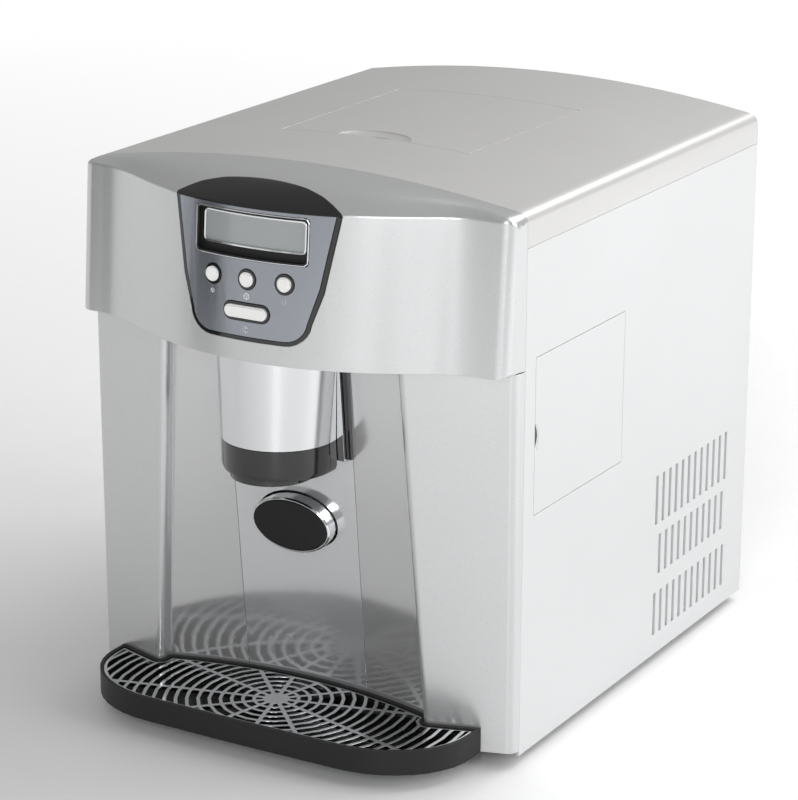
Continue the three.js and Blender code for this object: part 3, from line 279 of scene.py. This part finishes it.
# %% Make the finishes
FINISHES = {
    "silver_paint": finish("silver_paint", (0.64, 0.645, 0.65), (0.27, 0.31), 0.7,
                           (2600, 0.008), 0.015, worn=(0.72, 0.73, 0.73), coat=0.2),
    "side_paint": finish("side_paint", (0.66, 0.665, 0.67), (0.34, 0.44), 0.25,
                         (1500, 0.05), 0.015, worn=(0.80, 0.81, 0.81), coat=0.1),
    "top_paint": finish("top_paint", (0.64, 0.635, 0.625), (0.32, 0.44), 0.45,
                        (2000, 0.05), 0.02, worn=(0.72, 0.72, 0.71), coat=0.12),
    "splash_silver": finish("splash_silver", (0.70, 0.71, 0.72), (0.10, 0.17), 0.7,
                            (1200, 0.02), 0.015, coat=0.4),
    "gloss_black": finish("gloss_black", (0.008, 0.008, 0.009), (0.05, 0.10), 0.0,
                          (900, 0.01), 0.1, coat=0.5, shine=0.5),
    "faceplate": finish("faceplate", (0.34, 0.36, 0.395), (0.18, 0.25), 0.9,
                        (2600, 0.02), 0.02, stretch=(0.12, 1, 1), coat=0.15),
    "display_glass": finish("display_glass", (0.36, 0.38, 0.38), (0.10, 0.16), 0.0,
                            (700, 0.01), 0.05, coat=0.5),
    "button_white": finish("button_white", (0.90, 0.90, 0.89), (0.22, 0.30), 0.0,
                           (1800, 0.03), 0.01, worn=(0.92, 0.92, 0.91), coat=0.2),
    "matte_black": finish("matte_black", (0.016, 0.016, 0.017), (0.38, 0.52), 0.0,
                          (2200, 0.16), 0.12, worn=(0.05, 0.05, 0.052), shine=0.3),
    "pad_rubber": finish("pad_rubber", (0.011, 0.011, 0.012), (0.50, 0.64), 0.0,
                         (1900, 0.18), 0.15, worn=(0.03, 0.03, 0.032), shine=0.3),
    "chrome_trim": finish("chrome_trim", (0.80, 0.81, 0.82), (0.05, 0.11), 1.0,
                          (1200, 0.02), 0.02, round_edge=0.0004),
    "spout_silver": finish("spout_silver", (0.70, 0.71, 0.72), (0.17, 0.23), 0.9,
                           (2600, 0.008), 0.01, stretch=(1, 1, 0.1), coat=0.2),
    "foot_rubber": finish("foot_rubber", (0.03, 0.03, 0.03), (0.6, 0.75), 0.0,
                          (1500, 0.2), 0.15),
    "zinc_sheet": finish("zinc_sheet", (0.50, 0.51, 0.52), (0.30, 0.50), 0.9,
                         (300, 0.05), 0.12, broad=60),
    "inner_white": finish("inner_white", (0.80, 0.81, 0.81), (0.35, 0.45), 0.0,
                          (1500, 0.05), 0.02),
    "clear_tank": finish("clear_tank", (0.66, 0.74, 0.79), (0.12, 0.22), 0.0,
                         (900, 0.03), 0.03),
    "foam": finish("foam", (0.86, 0.86, 0.83), (0.7, 0.85), 0.0, (330, 0.5), 0.04),
    "steel": finish("steel", (0.58, 0.59, 0.60), (0.22, 0.34), 1.0,
                    (1800, 0.06), 0.03, stretch=(1, 0.08, 1)),
    "grey_metal": finish("grey_metal", (0.20, 0.21, 0.22), (0.35, 0.5), 0.3,
                         (1200, 0.08), 0.06, worn=(0.4, 0.4, 0.4)),
    "black_enamel": finish("black_enamel", (0.016, 0.016, 0.018), (0.2, 0.32), 0.0,
                           (500, 0.06), 0.1, worn=(0.06, 0.06, 0.06), coat=0.3),
    "fins": finish("fins", (0.62, 0.63, 0.64), (0.3, 0.45), 1.0,
                   (900, 0.1), 0.06, stretch=(1, 1, 0.05)),
    "nickel": finish("nickel", (0.62, 0.61, 0.59), (0.16, 0.26), 1.0,
                     (900, 0.03), 0.04),
    "dark_plastic": finish("dark_plastic", (0.030, 0.030, 0.033), (0.4, 0.52), 0.0,
                           (1700, 0.12), 0.1, worn=(0.07, 0.07, 0.07)),
    "board_green": finish("board_green", (0.04, 0.17, 0.08), (0.3, 0.4), 0.0,
                          (900, 0.05), 0.06, coat=0.2),
    "filter_mesh": finish("filter_mesh", (0.62, 0.63, 0.63), (0.6, 0.75), 0.0,
                          (1300, 0.6), 0.05),
}
print(len(FINISHES), "finishes")

# %% [markdown]
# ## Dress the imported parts
#
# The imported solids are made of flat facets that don't share their points. A small
# modifier tree joins them, shades them smooth and keeps only the steep edges sharp,
# so the curves read as curves. The finishes add a narrow rounding on the corners:
# the thin bright line that every moulded edge has.

# %% Shade and paint every node
SLOT_OF = {row["node"]: row["material_slot"] for row in record["subparts"]}
SHARP = math.radians(32)
WELD = 0.01 * MM


def join_and_smooth():
    """A modifier tree that joins the facets and keeps only the true corners sharp."""
    tree = bpy.data.node_groups.new("join_and_smooth", "GeometryNodeTree")
    tree.interface.new_socket("Geometry", in_out="INPUT", socket_type="NodeSocketGeometry")
    tree.interface.new_socket("Geometry", in_out="OUTPUT", socket_type="NodeSocketGeometry")
    start = add(tree, "NodeGroupInput")
    weld = add(tree, "GeometryNodeMergeByDistance", Distance=WELD)
    smooth = add(tree, "GeometryNodeSetShadeSmooth", domain="FACE")
    angle = add(tree, "GeometryNodeInputMeshEdgeAngle")
    steep = add(tree, "FunctionNodeCompare", operation="GREATER_THAN")
    steep.inputs["B"].default_value = SHARP
    corners = add(tree, "GeometryNodeSetShadeSmooth", domain="EDGE")
    corners.inputs["Shade Smooth"].default_value = False
    end = add(tree, "NodeGroupOutput")
    tree.links.new(angle.outputs["Unsigned Angle"], steep.inputs["A"])
    tree.links.new(steep.outputs["Result"], corners.inputs["Selection"])
    chain = (start, weld, smooth, corners, end)
    for one, two in zip(chain, chain[1:]):
        tree.links.new(one.outputs[0], two.inputs[0])
    return tree


SMOOTHING = join_and_smooth()


def dress(node, material):
    """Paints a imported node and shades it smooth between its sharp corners."""
    obj = nodes[node]
    obj.data.materials.clear()
    obj.data.materials.append(material)
    joined = obj.modifiers.new("join_and_smooth", "NODES")
    joined.node_group = SMOOTHING
    even = obj.modifiers.new("even_normals", "WEIGHTED_NORMAL")
    even.mode = "FACE_AREA_WITH_ANGLE"
    even.keep_sharp = True


for node in nodes:
    dress(node, FINISHES[SLOT_OF[node]])

print("dressed", len(nodes), "nodes")

# %% [markdown]
# ## The glossy hollow
#
# The columns of the front frame are satin, but the hollow between them is polished
# and mirrors the tray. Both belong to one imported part. A second copy of the paint
# tells them apart by place: inside two lines that lean together towards the top,
# the roughness drops.

# %% Polish the hollow
HOLLOW_LOW, HOLLOW_HIGH = 0.635, 0.535
HOLLOW_GLOSS = 0.12


def polish_hollow(node, half_low, half_high, z_low, z_high, gloss):
    """A copy of a node's finish that turns glossy inside the tapering hollow."""
    material = nodes[node].data.materials[0].copy()
    material.name = "hollow_silver"
    tree = material.node_tree
    shader = tree.nodes["Principled BSDF"]
    split = add(tree, "ShaderNodeSeparateXYZ")
    tree.links.new(place_of(tree), split.inputs["Vector"])
    edge = add(tree, "ShaderNodeMapRange", From_Min=z_low, From_Max=z_high)
    edge.inputs["To Min"].default_value = half_low
    edge.inputs["To Max"].default_value = half_high
    tree.links.new(split.outputs["Z"], edge.inputs["Value"])
    away = add(tree, "ShaderNodeMath", operation="ABSOLUTE")
    tree.links.new(split.outputs["X"], away.inputs[0])
    within = add(tree, "ShaderNodeMath", operation="LESS_THAN")
    tree.links.new(away.outputs[0], within.inputs[0])
    tree.links.new(edge.outputs["Result"], within.inputs[1])
    rough = shader.inputs["Roughness"].links[0].from_socket
    choose = add(tree, "ShaderNodeMix", data_type="FLOAT")
    choose.inputs[3].default_value = gloss
    tree.links.new(within.outputs[0], choose.inputs[0])
    tree.links.new(rough, choose.inputs[2])
    tree.links.new(choose.outputs[0], shader.inputs["Roughness"])
    nodes[node].data.materials[0] = material


frame_low, frame_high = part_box("front_frame")
polish_hollow("front_frame", HOLLOW_LOW * frame_high.x, HOLLOW_HIGH * frame_high.x,
              frame_low.z, frame_high.z, HOLLOW_GLOSS)
print("hollow between", round(HOLLOW_LOW * frame_high.x, 3), "and",
      round(HOLLOW_HIGH * frame_high.x, 3), "m from the middle")

# %% [markdown]
# ## The floor's paint
#
# A plain floor darkens away from the lights. A little glow that grows with distance
# keeps it evenly pale and leaves the soft shadow near the feet alone.

# %% Paint the floor
def glow_far_off(material, near=0.5, far=3.0, most=0.55):
    """A pale floor whose far part glows a little, so that it stays evenly white."""
    tree = material.node_tree
    shader = tree.nodes["Principled BSDF"]
    away = add(tree, "ShaderNodeVectorMath", operation="LENGTH")
    tree.links.new(place_of(tree), away.inputs[0])
    share = add(tree, "ShaderNodeMapRange", From_Min=near, From_Max=far)
    share.inputs["To Max"].default_value = most
    tree.links.new(away.outputs["Value"], share.inputs["Value"])
    shader.inputs["Emission Color"].default_value = (1.0, 1.0, 1.0, 1.0)
    tree.links.new(share.outputs["Result"], shader.inputs["Emission Strength"])


floor_paint = finish("floor_paint", (0.93, 0.93, 0.93), (0.45, 0.55), 0.0, (40, 0.02), 0.004)
glow_far_off(floor_paint)
floor.data.materials.append(floor_paint)
print("floor painted")

# %% [markdown]
# ## Rings that follow a curved face
#
# The control panel is bowed, so a flat ring would stand off it at both ends. Each
# ring is swept instead: its outline is drawn from the front, and every point is
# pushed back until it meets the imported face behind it. A thin section of four
# corners then gives the ring a real height and a chamfer that catches the light.

# %% Helpers for thin swept rings
graph = bpy.context.evaluated_depsgraph_get()


def face_of(node, reach_x=1.0, low=-1.0, high=1.0):
    """A function that gives the y of a node's front face, held within its borders."""
    tree = BVHTree.FromObject(nodes[node], graph)
    centre = sum(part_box(node), Vector()) / 2

    def y_at(x, z):
        x, z = max(-reach_x, min(reach_x, x)), max(low, min(high, z))
        for inward in (0.0, 0.02, 0.05, 0.1, 0.2):
            start = Vector((x, -1.0, z)).lerp(Vector((centre.x, -1.0, centre.z)), inward)
            hit = tree.ray_cast(start, Vector((0, 1, 0)))[0]
            if hit:
                return hit.y
        raise ValueError(f"nothing of {node} lies behind {x:.4f}, {z:.4f}")

    return y_at


def rounded_outline(x, z, half, tall, r, steps=6):
    """A rounded rectangle seen from the front, as a function of how far it grows."""
    def grown(grow):
        ring = []
        for corner in range(4):
            sx, sz = ((1, 1), (-1, 1), (-1, -1), (1, -1))[corner]
            for i in range(steps + 1):
                a = math.pi / 2 * (corner + i / steps)
                ring.append((x + sx * (half - r) + (r + grow) * math.cos(a),
                             z + sz * (tall - r) + (r + grow) * math.sin(a)))
        return ring

    return grown


def finer(ring, step=0.004):
    """The same closed outline with its long sides cut into short ones."""
    points = []
    for (x0, z0), (x1, z1) in zip(ring, ring[1:] + ring[:1]):
        count = max(1, int(math.hypot(x1 - x0, z1 - z0) / step))
        points += [(x0 + (x1 - x0) * i / count, z0 + (z1 - z0) * i / count)
                   for i in range(count)]
    return points


def resampled(ring, count):
    """count points spread evenly round a closed outline by angle of travel."""
    closed = ring + ring[:1]
    steps = [math.hypot(b[0] - a[0], b[1] - a[1]) for a, b in zip(closed, closed[1:])]
    total, points, done, k = sum(steps), [], 0.0, 0
    for i in range(count):
        want = total * i / count
        while done + steps[k] < want:
            done += steps[k]
            k += 1
        t = (want - done) / steps[k]
        (x0, z0), (x1, z1) = closed[k], closed[k + 1]
        points.append((x0 + (x1 - x0) * t, z0 + (z1 - z0) * t))
    return points


def piece(name, mesh, body, material):
    """Adds a new piece to the machine on one of its bodies."""
    obj = bpy.data.objects.new(name, mesh)
    bpy.context.scene.collection.objects.link(obj)
    mesh.materials.append(material)
    mesh.shade_smooth()
    mesh.set_sharp_from_angle(angle=SHARP)
    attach(obj, body)
    return obj


def closed_mesh(name, verts, faces, weld=0.0):
    """A mesh whose faces all look outwards, with points nearer than weld joined."""
    mesh = bpy.data.meshes.new(name)
    mesh.from_pydata([tuple(v) for v in verts], [], faces)
    tidy = bmesh.new()
    tidy.from_mesh(mesh)
    if weld:
        bmesh.ops.remove_doubles(tidy, verts=tidy.verts, dist=weld)
    bmesh.ops.recalc_face_normals(tidy, faces=tidy.faces)
    tidy.to_mesh(mesh)
    tidy.free()
    return mesh


def swept_ring(name, outline, section, y_at, body, material):
    """A closed ring: section is a loop of (grow, height in front of the face)."""
    count = len(finer(outline(0.0)))
    loops = [resampled(outline(grow), count) for grow, _ in section]
    verts, faces = [], []
    for loop, (_, height) in zip(loops, section):
        verts += [(x, y_at(x, z) - height, z) for x, z in loop]
    rings = len(section)
    for k in range(rings):
        for i in range(count):
            j, n = (i + 1) % count, (k + 1) % rings
            faces.append((k * count + i, k * count + j, n * count + j, n * count + i))
    return piece(name, closed_mesh(name, verts, faces), body, material)

# %% [markdown]
# ## The display's bezel and rim
#
# The display lies at the bottom of a deep black well. A thin silver bezel frames
# the grey glass, and a fine light rim edges the well where it meets the panel.

# %% Frame the display
screen_low, screen_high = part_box("lcd_screen")
well_low, well_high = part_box("lcd_frame")
screen_z = (screen_low.z + screen_high.z) / 2
well_z = (well_low.z + well_high.z) / 2
screen_half = (screen_high.x - screen_low.x) / 2
screen_tall = (screen_high.z - screen_low.z) / 2
glass_face = face_of("lcd_screen", screen_half - 0.4 * MM,
                     screen_low.z + 0.4 * MM, screen_high.z - 0.4 * MM)
bezel_shape = rounded_outline(0, screen_z, screen_half - 1.2 * MM,
                              screen_tall - 1.2 * MM, 1.2 * MM)
bezel_section = [(0.0, 0.15 * MM), (0.25 * MM, 1.5 * MM), (1.5 * MM, 1.6 * MM),
                 (2.0 * MM, 1.1 * MM), (0.6 * MM, 0.9 * MM)]
swept_ring("lcd_bezel", bezel_shape, bezel_section, glass_face, "cabinet",
           FINISHES["chrome_trim"])
plate_face = face_of("control_faceplate", 0.064)
rim_half = (well_high.x - well_low.x) / 2
rim_tall = (well_high.z - well_low.z) / 2
panel_face = face_of("lcd_frame", rim_half - 0.3 * MM, well_low.z + 0.3 * MM,
                     well_high.z - 0.3 * MM)
rim_shape = rounded_outline(0, well_z, rim_half, rim_tall, 3.0 * MM)
rim_section = [(-0.55 * MM, 0.02 * MM), (-0.45 * MM, 0.4 * MM), (0.15 * MM, 0.35 * MM),
               (0.35 * MM, -0.15 * MM)]
swept_ring("lcd_rim", rim_shape, rim_section, panel_face, "cabinet",
           FINISHES["chrome_trim"])
print("display framed")

# %% [markdown]
# ## Printed symbols
#
# Each button needs to say what it does. Plain symbols do it without words: a small
# cube, a large cube, a drop of water and the usual power mark. They are printed
# in pale ink, so each is a film a few hundredths of a millimetre thick.

# %% Print the symbols
INK = finish("ink", (0.93, 0.93, 0.93), (0.4, 0.5), 0.0, (900, 0.02), 0.01)
INK_HEIGHT = 0.05 * MM
LINE = 0.6 * MM


def stroke(points, width, closed):
    """Quads that follow a line of points with one width."""
    count = len(points)
    quads = []
    for i in range(count if closed else count - 1):
        a, b = Vector(points[i]), Vector(points[(i + 1) % count])
        along_line = (b - a).normalized()
        side = Vector((-along_line.y, along_line.x)) * width / 2
        a, b = a - along_line * width / 2, b + along_line * width / 2
        quads.append([a - side, b - side, b + side, a + side])
    return quads


def print_symbol(name, quads, x, z):
    """Lays flat quads on the faceplate as a thin film of ink."""
    verts, faces = [], []
    for quad in quads:
        n = len(verts)
        for height in (0.0, INK_HEIGHT):
            verts += [(x + q.x, plate_face(x + q.x, z + q.y) - height, z + q.y) for q in quad]
        faces += [(n + 4, n + 5, n + 6, n + 7), (n + 3, n + 2, n + 1, n)]
        faces += [(n + i, n + (i + 1) % 4, n + 4 + (i + 1) % 4, n + 4 + i) for i in range(4)]
    mesh = bpy.data.meshes.new(name)
    mesh.from_pydata(verts, [], faces)
    piece(name, mesh, "cabinet", INK)


def cube_lines(size):
    """A cube drawn as its hexagonal outline and three inner edges."""
    ring = [(size * math.cos(math.radians(30 + 60 * i)), size * math.sin(math.radians(30 + 60 * i)))
            for i in range(6)]
    quads = stroke(ring, LINE, True)
    for i in (0, 2, 4):
        quads += stroke([(0, 0), ring[i]], LINE, False)
    return quads


def drop_lines(size):
    """A drop of water: a circle drawn up to a point."""
    ring = []
    for i in range(20):
        a = 2 * math.pi * i / 20
        narrow = 1.0 - 0.75 * max(0.0, math.sin(a)) ** 1.5
        ring.append((size * 0.7 * math.cos(a) * narrow, size * math.sin(a)))
    return stroke(ring, LINE, True)


def power_lines(size):
    """The power mark: an open circle with an upright stroke."""
    arc = [(size * math.sin(math.radians(a)), size * math.cos(math.radians(a)))
           for a in range(40, 321, 20)]
    return stroke(arc, LINE, False) + stroke([(0, 0.35 * size), (0, 1.15 * size)], LINE, False)


BELOW_BUTTON = 12.2 * MM
BELOW_POWER = 12.6 * MM
symbols = [("select_button_1", cube_lines(1.6 * MM)), ("select_button_2", cube_lines(2.3 * MM)),
           ("select_button_3", drop_lines(2.2 * MM)), ("power_button", power_lines(2.0 * MM))]
for button, lines in symbols:
    low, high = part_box(button)
    drop = BELOW_POWER if button == "power_button" else BELOW_BUTTON
    print_symbol(f"{button}_symbol", lines, (low.x + high.x) / 2, (low.z + high.z) / 2 - drop)
print(len(symbols), "symbols printed")

# %% [markdown]
# ## Finger pockets
#
# The lid and the side door have no handles, only small hollows to hook a finger in.
# Light hardly reaches into them, so their shade is painted in: each holds a thin film of dark
# painted shade that follows the hollow. Rays cast at the imported piece tell how deep it lies.

# %% Paint shade into the finger pockets
# The pocket colour is painted shade: a dark film where little light reaches.
POCKET_SHADE = finish("pocket", (0.07, 0.07, 0.072), (0.35, 0.45), 0.0, (1500, 0.05), 0.08)
FILM = 0.12 * MM
SAME_POINT = 1e-6
LID_REACH, LID_DEEP = 26 * MM, 9.5 * MM
DOOR_REACH, DOOR_DEEP = 10.5 * MM, 4.2 * MM


def painted_pocket_shade(name, node, point_at, towards, body):
    """A film of painted shade over a patch of a node: point_at(u, v) starts a ray, u and v in 0..1.
    """
    tree = BVHTree.FromObject(nodes[node], graph)
    across_count, along_count = 24, 8
    verts, faces = [], []
    for lift in (FILM, -FILM / 2):
        for i in range(across_count + 1):
            for j in range(along_count + 1):
                start = Vector(point_at(i / across_count, j / along_count))
                hit = tree.ray_cast(start, Vector(towards))[0]
                if hit is None:
                    print("no pocket wall under", name, i, j)
                    hit = start
                verts.append(hit - Vector(towards) * lift)
    row = along_count + 1
    half = len(verts) // 2
    for i in range(across_count):
        for j in range(along_count):
            n = i * row + j
            faces.append((n, n + row, n + row + 1, n + 1))
            faces.append(tuple(half + k for k in (n + 1, n + row + 1, n + row, n)))
    rim = ([j for j in range(row)] + [i * row + along_count for i in range(1, across_count + 1)]
           + [across_count * row + j for j in range(along_count - 1, -1, -1)]
           + [i * row for i in range(across_count - 1, 0, -1)])
    for k in range(len(rim)):
        a, b = rim[k], rim[(k + 1) % len(rim)]
        faces.append((a, b, half + b, half + a))
    mesh = closed_mesh(name, verts, faces, weld=SAME_POINT)
    return piece(name, mesh, body, POCKET_SHADE)


def lid_point(u, v):
    """A crescent along the lid's front edge, seen from above."""
    low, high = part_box("top_lid")
    s = 1.96 * u - 0.98
    deep = LID_DEEP * (1 - s * s) + 0.3 * MM
    return ((low.x + high.x) / 2 + LID_REACH * s, low.y + 0.7 * MM + v * deep, 1.0)


def door_point(u, v):
    """Half a lens along the door's front edge, seen from the side."""
    low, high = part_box("side_door")
    s = 1.96 * u - 0.98
    deep = DOOR_DEEP * (1 - s * s) + 0.15 * MM
    return (1.0, low.y + 0.2 * MM + v * deep, (low.z + high.z) / 2 + DOOR_REACH * s)


# Both films are painted shade in the hollows of the lid and the door.
painted_pocket_shade("lid_pocket_shade", "top_lid", lid_point, (0, 0, -1), "lid")
painted_pocket_shade("door_pocket_shade", "side_door", door_point, (-1, 0, 0), "door")
print("two finger pockets lined")

# %% [markdown]
# ## Screws
#
# The back panel is held by crosshead screws. Each is a low dome with a cross cut
# into it, made by stretching a square grid over a disc, lifting it into a dome and
# sinking four arms of its top vertices, so the cross is real geometry.

# %% Drive the screws
SCREW = finish("screw_steel", (0.50, 0.51, 0.52), (0.22, 0.34), 1.0, (1500, 0.05), 0.05)


def screw_mesh(name, r=3.4 * MM, high=1.3 * MM):
    """A domed crosshead along +Z, with its cross sunk into the dome."""
    grid, verts, faces = 14, [], []
    for i in range(grid + 1):
        for j in range(grid + 1):
            u, v = 2 * i / grid - 1, 2 * j / grid - 1
            x = u * math.sqrt(1 - v * v / 2) * r
            y = v * math.sqrt(1 - u * u / 2) * r
            away = math.hypot(x, y) / r
            z = high * math.sqrt(max(0.0, 1 - 0.8 * away ** 2.5))
            in_cross = min(abs(u), abs(v)) < 0.16 and max(abs(u), abs(v)) < 0.62
            verts.append((x, y, z - (0.75 * high if in_cross else 0.0)))
    row = grid + 1
    for i in range(grid):
        for j in range(grid):
            n = i * row + j
            faces.append((n, n + row, n + row + 1, n + 1))
    rim = ([i for i in range(row)] + [i * row + grid for i in range(1, row)]
           + [grid * row + j for j in range(grid - 1, -1, -1)]
           + [i * row for i in range(grid - 1, 0, -1)])
    base = len(verts)
    verts += [(verts[i][0], verts[i][1], -0.2 * MM) for i in rim]
    count = len(rim)
    for k in range(count):
        faces.append((rim[k], rim[(k + 1) % count], base + (k + 1) % count, base + k))
    faces.append(tuple(range(base, base + count)))
    return closed_mesh(name, verts, faces)


back_low, back_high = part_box("back_panel")
SCREW_INSET = 11 * MM
columns = (back_low.x + SCREW_INSET, 0.0, back_high.x - SCREW_INSET)
rows = (back_low.z + SCREW_INSET, back_high.z - SCREW_INSET)
made = 0
for x in columns:
    for z in rows:
        made += 1
        mesh = screw_mesh(f"back_screw_{made}")
        turn = Matrix.Rotation(math.radians(20 * made), 4, "Z")
        mesh.transform(Matrix.Translation((x, back_high.y, z))
                       @ Matrix.Rotation(math.radians(-90), 4, "X") @ turn)
        piece(f"back_screw_{made}", mesh, "cabinet", SCREW)
print(made, "screws")
